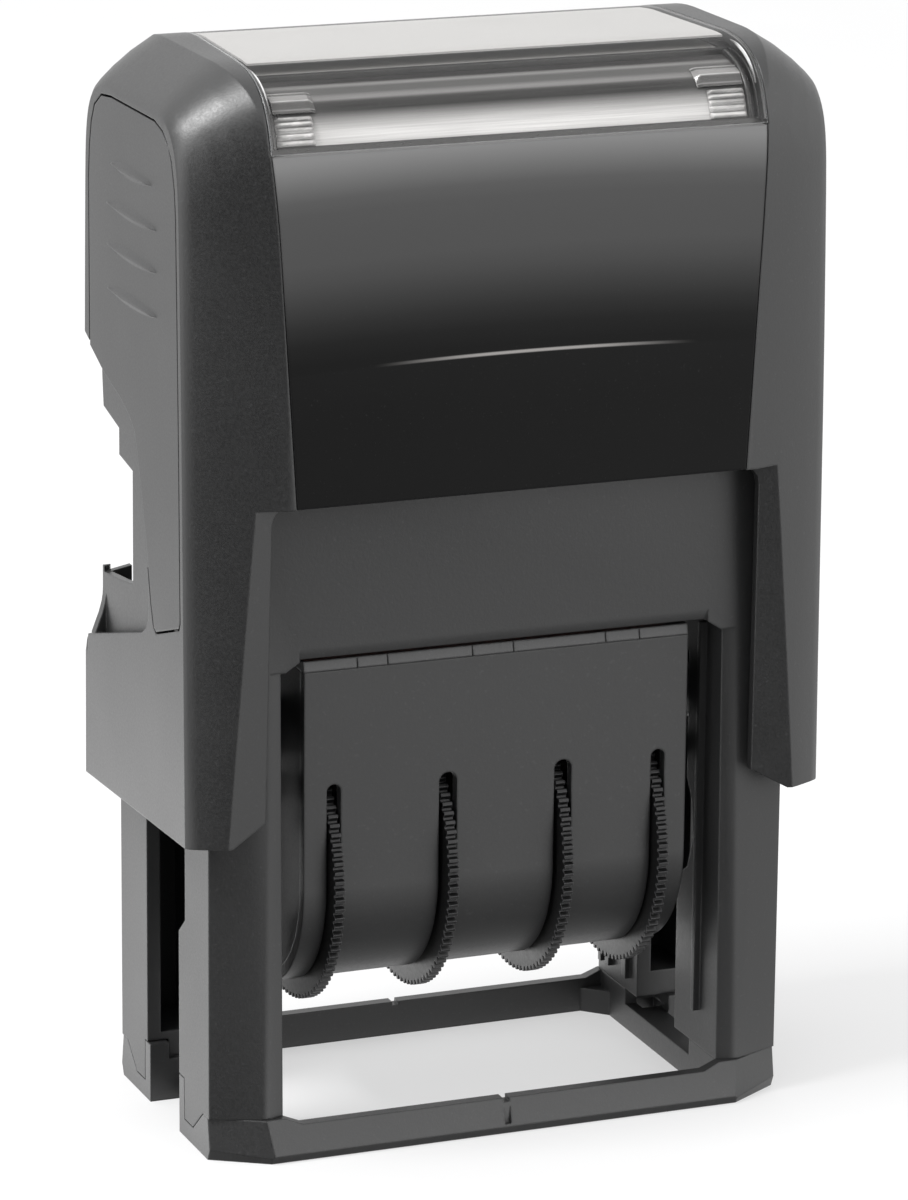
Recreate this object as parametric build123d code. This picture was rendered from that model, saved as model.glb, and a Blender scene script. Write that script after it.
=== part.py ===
from build123d import *
import math
import os

# Self-inking rotary date stamp, at rest.  Millimetres, +Z up, front towards -Y, right towards +X.
# Origin: centre of the foot frame's footprint on the paper plane.
# Cutting shapes run past the material they cut, so their far ends are not dimensions.

# ---- driving dimensions ----
TRAVEL = 23.5            # stroke of the cap
PIVOT_Z = 34.0           # height of the flip axis at rest
HEAD_RISE = 10.5         # flip axis to print face
PRINT_Z = PIVOT_Z + HEAD_RISE
PIN_R = 1.5              # flip pins
LUG_R, LUG_RHO = 1.2, 5.5  # guide lug: radius, distance below the flip axis

FOOT_X = 26.0            # half width of the foot frame and of the inner housing
FOOT_CORNER_Y = 11.33    # half depth of the foot frame's side faces
FOOT_FRONT_Y = 14.21     # half depth of the foot frame at its widest
FOOT_TOP_Y = 13.42       # half depth of the foot frame at its top
FOOT_H = 3.71            # foot frame height at the corners
FOOT_EDGE_Z = 0.7        # height of the foot frame's bottom chamfer
BAR_H = 3.08             # foot frame height between the legs
BAR_IN_Y = 12.5          # inner edge of the front and rear bars
LEG_IN_X = 19.9          # inner face of the legs
LEG_CORE_X = (21.2, 24.8)  # hollow inside each leg
HOUSING_Y = 13.4         # half depth of the legs before the lean is cut
LEAN_LOW_Y = 13.17       # half depth of the housing at the paper plane
ARCH_TOP = 43.24         # crown of the front arch
DECK_LOW = 42.4          # underside of the deck over the legs
HOUSING_TOP = 61.0       # top of the housing's front columns
REAR_TOP = 44.0          # top of the housing's rear legs

CAP_X = 28.6             # half width over the cap's side faces
SKIRT_Z = 20.0           # start of the cap outline, trimmed off later
CAP_TOP = 92.4           # top of the index window
CAP_WALL = 1.2           # wing wall
CAP_DEEP = 2.05          # wall behind the front panel
FLAT_WALL = 0.8          # wall behind the slanting flats beside the openings
ROOF_IN = 88.8           # underside of the cap's roof
LABEL_LOW = 57.0         # lower edge of the front panel
LABEL_TOP = 86.0         # upper edge of the front panel, lower edge of the index window
REAR_LOW = 76.0          # lower edge of the cap's rear wall
SKIN = 1.1               # thickness of the front panel
WINDOW_T = 1.05          # thickness of the index window
WINDOW_ROOM = 1.85       # depth of the hollow behind the index window's front
PANEL_IN = CAP_X - 1.15  # inner face of the side grip panels
PANEL_GAP = 0.2          # clearance round the grip panels
BUTTON_PRESS = 0.8       # room for the grip panels to move in

SPRING_X, SPRING_Y = 23.0, -7.6
SPRING_LOW, SPRING_TOP = 46.0, 88.5
SPRING_R, SPRING_WIRE = 1.85, 0.32
SPRING_TURNS = 12.5

DATER_X = 17.35          # half width of the dater's cover
DATER_Y = 10.7           # half depth of the dater's cover
COVER_WALL = 1.0
COVER_TOP = 41.6
PLATE_TOP = 42.5         # top of the print plate
BEND_Z = 22.5            # centre of the dater's half round bottom
WHEEL_Z = 22.4           # setting wheel axis
WHEEL_R = 12.4           # setting wheel tip radius
WHEEL_ROOT_R = WHEEL_R - 0.42
WHEEL_T = 0.85           # setting wheel thickness
WHEEL_TEETH = 96
AXLE_R = 0.8
SLOT_TOP = 31.7          # top of the wheel slots in the cover
HUB_R = 3.4
BAND_IN_R = HUB_R + 0.05
BAND_T = 0.7

# setting wheel x, slot width, hub x span, band x span, figures on the band
DATE_SETS = [
    (-14.69, 1.27, (-14.6, -9.0), (-12.3, -9.1), "1"),
    (-4.44, 1.63, (-8.8, -4.5), (-8.7, -5.5), "6"),
    (6.01, 1.60, (-3.7, 5.9), (-3.4, 4.6), "70"),
    (14.75, 1.28, (6.7, 14.6), (7.4, 13.6), "62"),
]
SIDES = (1, -1)
CORNERS = [(sx, sy) for sx in SIDES for sy in SIDES]


# ---- vectors ----
def plus(a, b, factor=1.0):
    return tuple(u + factor * v for u, v in zip(a, b))


def less(a, b):
    return tuple(u - v for u, v in zip(a, b))


def cross(u, v):
    return (u[1] * v[2] - u[2] * v[1], u[2] * v[0] - u[0] * v[2], u[0] * v[1] - u[1] * v[0])


def unit(v):
    length = math.sqrt(sum(c * c for c in v))
    return tuple(c / length for c in v)


# ---- solids ----
def symmetric(points):
    """A closed outline from one half, mirrored about the second axis."""
    return points + [(-u, v) for u, v in reversed(points)]


def extrude_x(face, x0, x1):
    return Pos(x0, 0, 0) * extrude(face, x1 - x0, dir=(1, 0, 0))


def prism_yz(points, x0, x1):
    return extrude_x(Plane.YZ * make_face(Polyline(*points, close=True)), x0, x1)


def prism_xz(points, y0, y1):
    face = make_face(Polyline(*[(x, 0, z) for x, z in points], close=True))
    return Pos(0, y0, 0) * extrude(face, y1 - y0, dir=(0, 1, 0))


def prism_xy(points, z0, z1):
    face = make_face(Polyline(*points, close=True))
    return Pos(0, 0, z0) * extrude(face, z1 - z0, dir=(0, 0, 1))


def block(x0, x1, y0, y1, z0, z1):
    centre = Pos((x0 + x1) / 2, (y0 + y1) / 2, (z0 + z1) / 2)
    return centre * Box(abs(x1 - x0), abs(y1 - y0), abs(z1 - z0))


def rod_x(radius, x0, x1, y, z):
    return Pos((x0 + x1) / 2, y, z) * Rot(0, 90, 0) * Cylinder(radius, abs(x1 - x0))


def rod_z(radius, x, y, z0, z1):
    return Pos(x, y, (z0 + z1) / 2) * Cylinder(radius, z1 - z0)


def beyond(a, b, c, outward, inset=0.0):
    """A large block on the outward side of the plane through three points, moved back by inset."""
    normal = unit(cross(less(b, a), less(c, a)))
    if sum(n * o for n, o in zip(normal, outward)) < 0:
        normal = tuple(-n for n in normal)
    plane = Plane(origin=plus(a, normal, -inset), z_dir=normal)
    return plane * Box(170, 170, 170, align=(Align.CENTER, Align.CENTER, Align.MIN))


def beyond_line(start, end, outward):
    """A large block on the outward side of a line between two (y, z) points, across all x."""
    return beyond((0, *start), (10, *start), (0, *end), outward)


def left_of(shape):
    return mirror(shape, Plane.YZ)


def both(shape):
    """The shape and its mirror image in the YZ plane."""
    return shape + left_of(shape)


def one(shape):
    """The single solid in a result, or the largest."""
    return max(shape.solids(), key=lambda solid: solid.volume)


# ---- cap outline ----
# Stations from the skirt up to the mid plane: edge of the side face (y, z) and ridge beside the
# front panel and the index window (x, y, z).  The wing skin is ruled between the two.
STATIONS = [
    ((-13.28, SKIRT_Z), (21.30, -16.62, SKIRT_Z)),
    ((-13.02, 38.0), (21.15, -16.38, 38.0)),
    ((-12.80, 54.0), (20.85, -16.06, 54.0)),
    ((-12.58, 66.0), (20.80, -15.86, 66.0)),
    ((-12.30, 75.0), (21.10, -15.68, 75.5)),
    ((-12.08, 80.6), (21.38, -15.50, 81.0)),
    ((-11.78, 83.8), (21.66, -15.10, 84.6)),
    ((-11.20, 85.8), (22.00, -14.40, 87.3)),
    ((-10.35, 87.1), (22.42, -13.25, 89.6)),
    ((-9.20, 88.0), (22.95, -11.40, 91.2)),
    ((-7.70, 88.45), (23.45, -9.00, 92.05)),
    ((-6.00, 88.55), (23.70, -6.20, 92.38)),
    ((-4.00, 88.55), (23.75, -4.00, CAP_TOP)),
    ((0.0, 88.55), (23.75, 0.0, CAP_TOP)),
]
LAST = len(STATIONS) - 1
EDGE = [(CAP_X, *edge) for edge, ridge in STATIONS]
RIDGE = [ridge for edge, ridge in STATIONS]
# rails between edge and ridge: fraction of the way across, share of the bulge
RAIL_PLACES = [(0.03, 0.0), (0.13, 0.46), (0.34, 0.88), (0.65, 0.85)]


def spline_parameters():
    """Station places from 0 to 1, by the mean distance along edge and ridge."""
    places = [0.0]
    for i in range(LAST):
        (edge0, ridge0), (edge1, ridge1) = STATIONS[i:i + 2]
        places.append(places[-1] + 0.5 * (math.dist(edge0, edge1) + math.dist(ridge0, ridge1)))
    return [place / places[-1] for place in places]


PARAMETERS = spline_parameters()


def tangent(points, i):
    """Direction of travel at a station: upright at the skirt, level at the mid plane."""
    if i == 0:
        return (0.0, 0.0, 1.0)
    if i == LAST:
        return (0.0, 1.0, 0.0)
    return unit(less(points[i + 1], points[i - 1]))


def inward(direction):
    """Unit normal into the cap in the YZ plane."""
    return unit((0.0, direction[2], -direction[1]))


def station_points(i, wall, depth, turn, bulge):
    """Points of the six rails at one station, from the side face to the ridge."""
    edge_dir, ridge_dir = tangent(EDGE, i), tangent(RIDGE, i)
    into = inward(edge_dir)
    edge = plus(plus(EDGE[i], (-1, 0, 0), wall), into, 0.66 * wall)
    ridge = RIDGE[i]
    if depth:
        # the sideways shift of the ridge eases off where the outline turns level
        level = min(1.0, max(0.0, (ridge_dir[1] - 0.1) / 0.8))
        shift = (1.9 * (1 - level) + 0.65 * level) * wall / 1.2
        ridge = plus(plus(ridge, inward(ridge_dir), depth), (shift, 0, 0))
    across = less(ridge, edge)
    normal = unit(cross(unit(across), unit(plus(edge_dir, ridge_dir))))
    if normal[0] < 0:
        normal = tuple(-n for n in normal)
    points = [plus(edge, into, turn)]
    points += [plus(plus(edge, across, f), normal, bulge * k) for f, k in RAIL_PLACES]
    points.append(ridge)
    if i == LAST:
        points = [(x, 0.0, z) for x, y, z in points]
    if i == 0:
        points = [(x, y, SKIRT_Z) for x, y, z in points]
    return points


def rail_edge(points):
    ends = [Vector(0, 0, 1), Vector(0, 1, 0)]
    return Edge.make_spline([Vector(*q) for q in points], tangents=ends, parameters=PARAMETERS)


def cap_body(wall=0.0, depth=0.0, turn=0.22, bulge=0.30):
    """The cap as a closed block, moved in by wall on the wings and by depth at the ridges.

    turn rounds the edge of the side face, bulge swells the wing skin."""
    rails = list(zip(*[station_points(i, wall, depth, turn, bulge) for i in range(LAST + 1)]))
    curves = [rail_edge(points) for points in rails]
    side_low, side_top = rails[0][0], rails[0][-1]
    corner = (side_low[0], 0, SKIRT_Z)
    quarter = [Face.make_surface_from_curves(curves[i], curves[i + 1]) for i in range(5)]
    side_lines = [Edge.make_line(side_top, corner), Edge.make_line(corner, side_low)]
    quarter.append(Face(Wire([curves[0], *side_lines])))
    quarter += [face.mirror(Plane.YZ) for face in quarter]
    quarter.append(Face.make_surface_from_curves(curves[5], curves[5].mirror(Plane.YZ)))
    low = [corner] + [points[0] for points in rails]
    low += [(-x, y, z) for x, y, z in reversed(low)]
    quarter.append(Face(Wire.make_polygon(low, close=True)))
    return Solid(Shell(quarter + [face.mirror(Plane.XZ) for face in quarter]))


def slab(inset, half_x=24.0):
    """The cap's side outline between the ridges, moved in by inset, as a straight block."""
    points = [plus(ridge, inward(tangent(RIDGE, i)), inset) for i, ridge in enumerate(RIDGE)]
    points = [(0.0, y, z) for x, y, z in points]
    front = rail_edge(points)
    low = points[0]
    base = Edge.make_line((0, -low[1], low[2]), low)
    return extrude_x(Face(Wire([front, front.mirror(Plane.XZ), base])), -half_x, half_x)


# ---- cap shell ----
# three points (x, y, z) on the slanting flat beside the front opening, right side
FLAT = ((25.2, -14.84, 28.3), (21.94, -14.1, 30.1), (23.14, -15.18, 55.5))

# outlines in (y, z) on the cap's sides
PANEL = [
    (-10.15, 85.1), (-10.8, 83.0), (-11.08, 80.7), (-11.15, 78.0), (-11.3, 73.5), (-11.5, 66.0),
    (-11.62, 61.0), (-11.75, 53.0), (-11.85, 47.3), (-11.6, 46.75), (-5.85, 44.95), (-5.35, 45.2),
    (-4.7, 46.95), (-3.5, 51.9), (-2.3, 55.9), (-1.3, 59.0), (-0.6, 60.75), (0.8, 61.8),
    (3.1, 62.8), (7.1, 63.95), (10.95, 65.6), (10.9, 80.0), (10.6, 82.7), (10.1, 84.8),
    (9.2, 86.4), (7.5, 87.45), (5.0, 87.7), (-6.0, 87.7), (-8.0, 87.2), (-9.3, 86.3),
]
RECESS = [
    (17.0, 38.7), (11.4, 40.2), (-2.1, 43.9), (-3.3, 44.6), (-3.85, 45.5), (-4.06, 47.2),
    (-3.7, 50.6), (-2.7, 55.5), (-1.5, 59.4), (-0.7, 60.9), (0.7, 62.0), (3.1, 63.0),
    (7.1, 64.15), (11.2, 66.0), (17.0, 68.5),
]
RECESS_FLOOR = [
    (12.8, 39.0), (-2.6, 43.2), (-4.0, 44.4), (-4.1, 45.5), (-3.9, 47.2), (-3.0, 50.6),
    (-1.9, 55.5), (-0.8, 59.0), (-0.2, 60.1), (1.1, 61.1), (3.4, 62.1), (7.3, 63.2),
    (11.2, 64.9), (12.6, 65.3), (12.6, 62.6), (12.3, 59.9), (8.2, 58.9), (8.2, 56.6),
    (4.7, 56.0), (4.75, 46.2), (7.6, 45.75), (12.8, 45.25),
]
FLOOR_EDGE = [(12.8, 39.0), (-2.6, 43.2), (-4.0, 44.4), (-4.0, 43.4), (-2.6, 42.2), (12.8, 38.0)]
REAR_NOTCH = [
    (12.85, 43.8), (13.1, 42.2), (13.9, 40.9), (15.0, 40.2), (18.0, 39.6), (18.0, 67.4),
    (12.0, 66.0), (12.0, 65.8), (12.65, 65.4),
]
REAR_RELIEF = [(10.2, 45.8), (13.5, 45.8), (13.5, 64.6), (12.2, 63.6), (10.2, 62.2)]

# outlines in (x, z) at the rear notch
NOTCH_LIP = [(26.9, 39.0), (26.9, 45.25), (24.6, 45.7), (24.6, 39.0)]
RIM_CUT = [
    (28.7, 38.0), (28.52, 38.6), (28.35, 39.3), (28.05, 40.0), (27.9, 40.4), (30, 40.4),
    (30, 38.0),
]
RIM = [
    (28.05, 39.5), (28.05, 40.0), (27.75, 40.8), (27.4, 41.7), (27.15, 42.6), (27.0, 43.5),
    (26.5, 43.5), (26.5, 39.5),
]

# left halves in (x, z): pocket for the front panel, and the panel itself
LABEL_POCKET = [(-20.0, LABEL_LOW - 1), (-20.0, LABEL_LOW), (-21.35, 80.0), (-21.78, LABEL_TOP)]
LABEL = [(-19.92, LABEL_LOW + 0.06), (-21.27, 80.0), (-21.68, LABEL_TOP - 0.08)]
# right halves in (x, y): pocket and part, for the index window and its card
WINDOW_POCKET = [(21.84, -20), (21.84, -6.4), (20.8, 9.58)]
WINDOW = [(21.76, -20), (21.76, -6.4), (20.72, 9.5)]
CARD_POCKET = [(20.55, -7.2), (20.4, 9.2)]
CARD = [(20.4, -7.0), (20.25, 9.0)]


def flat_cut(sx, sy, x_in, top, inset):
    """The region past the slanting flat in one corner of the skirt."""
    a, b, c = [(x * sx, y * sy, z) for x, y, z in FLAT]
    zone = block(sx * x_in, sx * 30, sy * -20, 0, SKIRT_Z - 1, top)
    return zone & beyond(a, b, c, (-sx, -sy, 0), inset)


def opening(top):
    """Outline in (x, z) of the opening between the legs, with rounded upper corners."""
    return symmetric([
        (20.15, top), (20.75, top - 0.12), (21.25, top - 0.46), (21.58, top - 0.96),
        (21.7, top - 1.55), (21.94, 30.1), (25.2, 28.3), (25.6, 15),
    ])


def hollow_cap(outer):
    """The cap with its cavity, slanting flats, front and rear openings and sloping lower edge."""
    cavity = cap_body(wall=CAP_WALL, depth=CAP_DEEP, turn=0.4, bulge=0.25)
    cavity -= block(-40, 40, -30, 30, ROOF_IN, 120)
    for sx, sy in CORNERS:
        cavity -= flat_cut(sx, sy, 21.0, 57.6, FLAT_WALL)
    shell = outer - cavity
    for sx, sy in CORNERS:
        shell -= flat_cut(sx, sy, 19.0, LABEL_LOW, 0.0)
    shell -= prism_xz(opening(LABEL_LOW), -22, -10)
    shell -= prism_xz(opening(REAR_LOW), 10, 22)
    return shell - beyond_line((-14, 28.35), (14, 27.4), (0, 0, -1))


def panel_prism(grow, x0, x1):
    """The grip panel's outline, grown by a clearance, as a prism."""
    face = make_face(Polyline(*PANEL, close=True))
    if grow:
        face = offset(face, grow, kind=Kind.ARC)
    return extrude_x(Plane.YZ * face, x0, x1)


def cut_sides(shell):
    """Windows for the grip panels, and the floored recess and notch behind them."""
    cut = panel_prism(PANEL_GAP, PANEL_IN - BUTTON_PRESS - 0.1, 30.0)
    cut += prism_yz(RECESS, 27.0, 30.0)
    cut += prism_yz(REAR_NOTCH, 21.0, 30.0)
    floor = prism_yz(RECESS_FLOOR, 26.35, 27.0) + prism_yz(FLOOR_EDGE, 26.35, 27.6)
    shell -= both(cut)
    shell -= both(block(20.0, 26.3, 10.2, 18.0, 44.3, 66.2))
    shell -= both(prism_yz(REAR_RELIEF, 26.0, 27.3))
    shell += both(floor)
    # lip of the notch, and the flared rim that runs down from it into the skirt
    shell += both(prism_xz(NOTCH_LIP, 12.15, 12.8))
    shell -= both(prism_xz(RIM_CUT, 12.1, 17.5))
    return shell + both(prism_xz(RIM, 11.9, 12.8))


def make_cap_shell(outer):
    shell = cut_sides(hollow_cap(outer))
    # bearings for the flip pins, reaching in through the gap between the legs
    shell += both(rod_x(3.0, 21.4, 27.8, 0, PIVOT_Z))
    shell -= both(rod_x(PIN_R + 0.05, 21.0, 27.3, 0, PIVOT_Z))
    # spring seats under the roof
    for sx in SIDES:
        shell += rod_z(2.3, sx * SPRING_X, SPRING_Y, SPRING_TOP, ROOF_IN + 0.6)
        shell += rod_z(1.2, sx * SPRING_X, SPRING_Y, 84.0, ROOF_IN + 0.6)
    # pockets for the front panel and the index window
    deep = slab(SKIN + 0.05)
    shell += block(-22.4, 22.4, -13.0, -11.2, LABEL_TOP - 0.4, ROOF_IN + 0.4)
    shell -= prism_xz(symmetric(LABEL_POCKET), -25, -6) - deep
    shell -= prism_xy(symmetric(WINDOW_POCKET), LABEL_TOP - 0.02, 96) - deep
    # room behind the window's curved front, then the bed of the index card
    shell -= block(-21.5, 21.5, -20, -7.5, LABEL_TOP + 0.3, 96) - slab(WINDOW_ROOM)
    shell -= prism_xy(symmetric(CARD_POCKET), 89, 96) & (slab(SKIN) - slab(SKIN + 0.42))
    return one(shell)


# ---- pieces set into the cap ----
def make_front_panel(outline):
    return one((outline - slab(SKIN)) & prism_xz(symmetric(LABEL), -25, -6))


def make_index_window(outline):
    return one((outline - slab(WINDOW_T)) & prism_xy(symmetric(WINDOW), LABEL_TOP + 0.06, 96))


def make_index_card():
    return one(prism_xy(symmetric(CARD), 89, 96) & (slab(SKIN + 0.08) - slab(SKIN + 0.38)))


def lens(x, z, half, rise):
    """A pointed lens face in a YZ plane."""
    face = make_face([
        ThreePointArc((-half, z), (0, z + rise), (half, z)).edge(),
        ThreePointArc((half, z), (0, z - rise), (-half, z)).edge(),
    ])
    return Pos(x, 0, 0) * (Plane.YZ * face)


LENS_RIBS = [(82.3, 5.5), (78.8, 6.8), (75.3, 6.8), (71.6, 6.8)]  # z, half length


def make_lock_button(outer):
    """Right grip panel with four raised lens ribs."""
    button = panel_prism(0, PANEL_IN, CAP_X) & outer
    for z, half in LENS_RIBS:
        base = lens(CAP_X - 0.12, z, half, 0.72)
        button += loft([base, lens(CAP_X + 0.26, z, half * 0.82, 0.12)])
    return one(button)


# ---- inner housing ----
# right side: x0, x1, y0, y1, z0, z1
SIDE_BLOCKS = [
    # side wall above the gap, and deck
    (LEG_IN_X, LEG_CORE_X[0], -6, 6, 38.5, REAR_TOP),
    (LEG_CORE_X[1], FOOT_X, -6, 6, 38.5, REAR_TOP),
    (LEG_IN_X, FOOT_X, -11, 11, DECK_LOW, REAR_TOP),
    # pad guide: wall, lower ledge, upper ledge
    (LEG_IN_X, LEG_CORE_X[0], -12.0, 4.0, REAR_TOP - 0.5, 52.6),
    (18.3, 20.4, -12.0, 12.0, ARCH_TOP, 44.3),
    (18.7, 20.4, -12.0, 4.0, 51.9, 52.6),
    # upright ribs on the inner faces of the legs
    (19.3, 20.1, -9.0, -8.4, 7.0, 42.0),
    (19.3, 20.1, 11.3, 11.9, 5.0, 42.0),
    (19.3, 20.1, 8.4, 9.0, 7.0, 42.0),
    # catch on the inner face of the rear leg
    (19.4, 20.1, 6.0, 6.8, 5.0, 11.0),
    (19.4, 20.1, 9.8, 10.6, 5.0, 11.0),
    (19.4, 20.1, 6.0, 10.6, 10.2, 11.0),
]
LEG_GAP_CUT = [  # y, z
    (-5.4, 19.4), (-3.8, 18.0), (0, 18.0), (0, REAR_TOP - 5.5), (-5.4, REAR_TOP - 5.5),
]
TRACK_RELIEF = [  # y, z
    (-6.4, 25.6), (-6.9, 22.25), (-5.9, 19.2), (-3.0, 17.2), (-2.6, 28.5), (-4.6, 28.5),
]
APRON = [  # left half, x, z
    (-LEG_IN_X - 0.4, HOUSING_TOP), (-LEG_IN_X - 0.4, 41.9), (-LEG_IN_X, 42.1),
    (-18.15, ARCH_TOP),
]
TRACK_STEPS = 18


def wedge(sy, y_low, y_mid, y_high, z_low, z_top, x0, x1):
    """A wedge key between housing and foot frame, sloping up to the foot frame's top."""
    outline = [(y_low, z_top), (y_low, z_low), (y_mid, z_low), (y_high, FOOT_H), (y_high, z_top)]
    return prism_yz([(sy * y, z) for y, z in outline], x0, x1)


def leg(sy, gap_y, top):
    """A hollow right leg on the sy side of the gap."""
    outline = [
        (LEG_IN_X, sy * HOUSING_Y), (LEG_CORE_X[0], sy * HOUSING_Y), (FOOT_X, sy * FOOT_CORNER_Y),
        (FOOT_X, sy * gap_y), (LEG_IN_X, sy * gap_y),
    ]
    core = block(*LEG_CORE_X, sy * 11.0, sy * (gap_y - 1), 6.0, DECK_LOW)
    return prism_xy(outline, FOOT_H, top) - core


def cut_track(side):
    """Cam track for the lug, along the coupled half turn and stroke."""
    for i in range(TRACK_STEPS + 1):
        part = i / TRACK_STEPS
        y = -LUG_RHO * math.sin(math.pi * part)
        z = PIVOT_Z - TRAVEL * part - LUG_RHO * math.cos(math.pi * part)
        side -= rod_x(LUG_R + 0.2, 19.0, 21.35, y, z)
    return side - prism_yz(TRACK_RELIEF, 19.0, 21.35)


def housing_side():
    front_leg = leg(-1, 3.8, HOUSING_TOP) - prism_yz(LEG_GAP_CUT, 19, 27)
    side = front_leg + leg(1, 4.5, REAR_TOP)
    for spans in SIDE_BLOCKS:
        side += block(*spans)
    # spring well
    side -= rod_z(2.4, SPRING_X, SPRING_Y, SPRING_LOW, HOUSING_TOP + 1)
    # wedge tongues that key into the foot frame, and room for its clips
    for sy in SIDES:
        side += wedge(sy, 5.2, 7.3, 9.75, 1.65, 4.2, 24.2, FOOT_X)
        side -= block(24.1, 26.5, sy * 2.0, sy * 5.15, 3.0, 5.3)
    return cut_track(side)


def make_inner_housing():
    housing = both(housing_side())
    housing += prism_xz(symmetric(APRON), -HOUSING_Y, -11.3)
    housing += block(-20.2, 20.2, 11.4, 12.4, ARCH_TOP, 44.3)
    # front and rear faces lean inwards a little towards the top
    for sy in SIDES:
        housing -= beyond_line((sy * -LEAN_LOW_Y, 0), (sy * -12.4, 43.0), (0, -sy, 0))
    # chamfer along the front legs and under the apron
    for sx in SIDES:
        inner_low = (sx * LEG_IN_X, -12.72, 0)
        inner_top = (sx * LEG_IN_X, -11.95, 43.0)
        outer_low = (sx * (LEG_IN_X + 1.15), -LEAN_LOW_Y, 0)
        past = beyond(inner_low, inner_top, outer_low, (-sx, -1, 0))
        housing -= block(sx * 19.0, sx * 21.6, -14, -11.5, 2, 42.3) & past
    past = beyond_line((-12.05, ARCH_TOP), (-12.38, 44.2), (0, -1, -1))
    housing -= block(-18.4, 18.4, -14, -11.5, 42.6, 44.8) & past
    return one(housing)


# ---- foot frame ----
FOOT_BLANK = [(21.0, 14.9), (26, 11.5), (26, -11.5), (21.0, -14.9)]  # right half, x, y
FOOT_GUSSET = [(20.2, 12.8), (17.9, 12.8), (17.9, 12.5), (19.9, 10.5), (20.2, 10.5)]  # x, y
BAR_CUT = [(-19.9, 6), (-19.9, FOOT_H), (-18.4, BAR_H)]  # left half, x, z


def foot_blank():
    """The foot frame's outer form, with sloping faces and a bottom chamfer."""
    foot = prism_xy(symmetric(FOOT_BLANK), 0, FOOT_H)
    for sy in SIDES:
        edge = (sy * -FOOT_FRONT_Y, FOOT_EDGE_Z)
        foot -= beyond_line(edge, (sy * -FOOT_TOP_Y, FOOT_H), (0, -sy, 0))
        foot -= beyond_line(edge, (sy * -13.9, 0.0), (0, -sy, -1))
        for sx in SIDES:
            side_y = sy * -FOOT_CORNER_Y
            front_y = sy * -FOOT_FRONT_Y
            foot -= beyond(
                (sx * FOOT_X, side_y, 1.85), (sx * 21.34, front_y, 0.0),
                (sx * 21.6, sy * -FOOT_TOP_Y, FOOT_H), (sx, -sy, 0))
            foot -= beyond(
                (sx * FOOT_X, side_y, FOOT_EDGE_Z), (sx * 21.34, front_y, FOOT_EDGE_Z),
                (sx * 23.5, sy * -12.55, 0.0), (sx, -sy, -1))
    return foot


def make_foot_frame():
    foot = foot_blank()
    foot -= block(-LEG_IN_X, LEG_IN_X, -BAR_IN_Y, BAR_IN_Y, -1, 6)
    for sx in SIDES:
        # side gap, step inside it, and sockets in the underside
        foot -= block(sx * 22.6, sx * 27, -3.8, 3.8, -1, 6)
        foot -= block(sx * 19.0, sx * 22.7, -7.0, 7.0, 2.2, 6)
        foot -= block(sx * 21.0, sx * 24.2, 5.6, 10.4, -1, 2.6)
        foot -= block(sx * 21.0, sx * 24.2, -10.4, -5.6, -1, 2.6)
        for sy in SIDES:
            # corner gusset, clip, and socket for the housing's wedge tongue
            foot += prism_xy([(sx * x, sy * y) for x, y in FOOT_GUSSET], 0, 2.2)
            foot += block(sx * 24.3, sx * FOOT_X, sy * 3.8, sy * 5.05, 0.8, 5.2)
            key = wedge(sy, 5.1, 7.35, 9.95, 1.55, 6.0, 24.1, 27)
            foot -= key if sx > 0 else left_of(key)
    # lowered bars with a centre mark across the top, and down the front face
    for y0, y1 in ((-16, -12), (12, 16)):
        foot -= prism_xz(symmetric(BAR_CUT), y0, y1)
        foot -= block(-0.3, 0.3, y0, y1, BAR_H - 0.35, BAR_H + 1)
    foot -= block(-0.3, 0.3, -16, -13.75, 0.9, BAR_H + 1)
    return one(foot)


# ---- return springs ----
def make_spring(sx):
    low = SPRING_LOW + SPRING_WIRE + 0.02
    height = SPRING_TOP - SPRING_WIRE - 0.02 - low
    helix = Helix(pitch=height / SPRING_TURNS, height=height, radius=SPRING_R)
    section = Plane(origin=helix @ 0, z_dir=helix % 0) * Circle(SPRING_WIRE)
    return Pos(sx * SPRING_X, SPRING_Y, low) * sweep(section, path=helix, is_frenet=True)


# ---- ink pad drawer ----
def make_ink_pad_tray(reach_y):
    """The drawer; its grip stands out at the rear as far as reach_y."""
    tray = block(-19.4, 19.4, -11.0, 12.3, 44.45, 51.7)
    tray -= block(-17.8, 17.8, -12, 13, 44, 44.64)
    tray -= block(-18.0, 18.0, -8.8, 8.8, 40, 48.5)
    tray -= block(-17.0, 17.0, -9.4, 9.4, 50.2, 53)
    tray -= both(block(18.75, 21, -12, 4.6, 51.0, 53))
    tray += block(-9.0, 9.0, 12.0, reach_y, 45.6, 51.0)
    for x in range(-7, 8, 2):
        tray -= block(x - 0.35, x + 0.35, reach_y - 0.6, reach_y + 1, 45, 52)
    return one(tray)


def make_ink_pad_felt():
    return block(-17.9, 17.9, -8.7, 8.7, 44.55, 48.45)


# ---- dater ----
def u_solid(radius, top, x0, x1):
    """Straight sides over a half round bottom, along x."""
    arc = ThreePointArc((-radius, BEND_Z), (0, BEND_Z - radius), (radius, BEND_Z))
    face = make_face([
        Line((-radius, top), (-radius, BEND_Z)).edge(),
        arc.edge(),
        Line((radius, BEND_Z), (radius, top)).edge(),
        Line((radius, top), (-radius, top)).edge(),
    ])
    return extrude_x(Plane.YZ * face, x0, x1)


def make_dater_cover():
    cover = u_solid(DATER_Y, COVER_TOP, -DATER_X, DATER_X)
    cover -= u_solid(DATER_Y - COVER_WALL, 43.0, -DATER_X - 1, DATER_X + 1)
    for x, width, *_ in DATE_SETS:
        half = width / 2
        cover -= block(x - half, x + half, -15, 15, 5, SLOT_TOP - half)
        cover -= Pos(x, 0, SLOT_TOP - half) * Rot(90, 0, 0) * Cylinder(half, 30)
    return one(cover)


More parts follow.
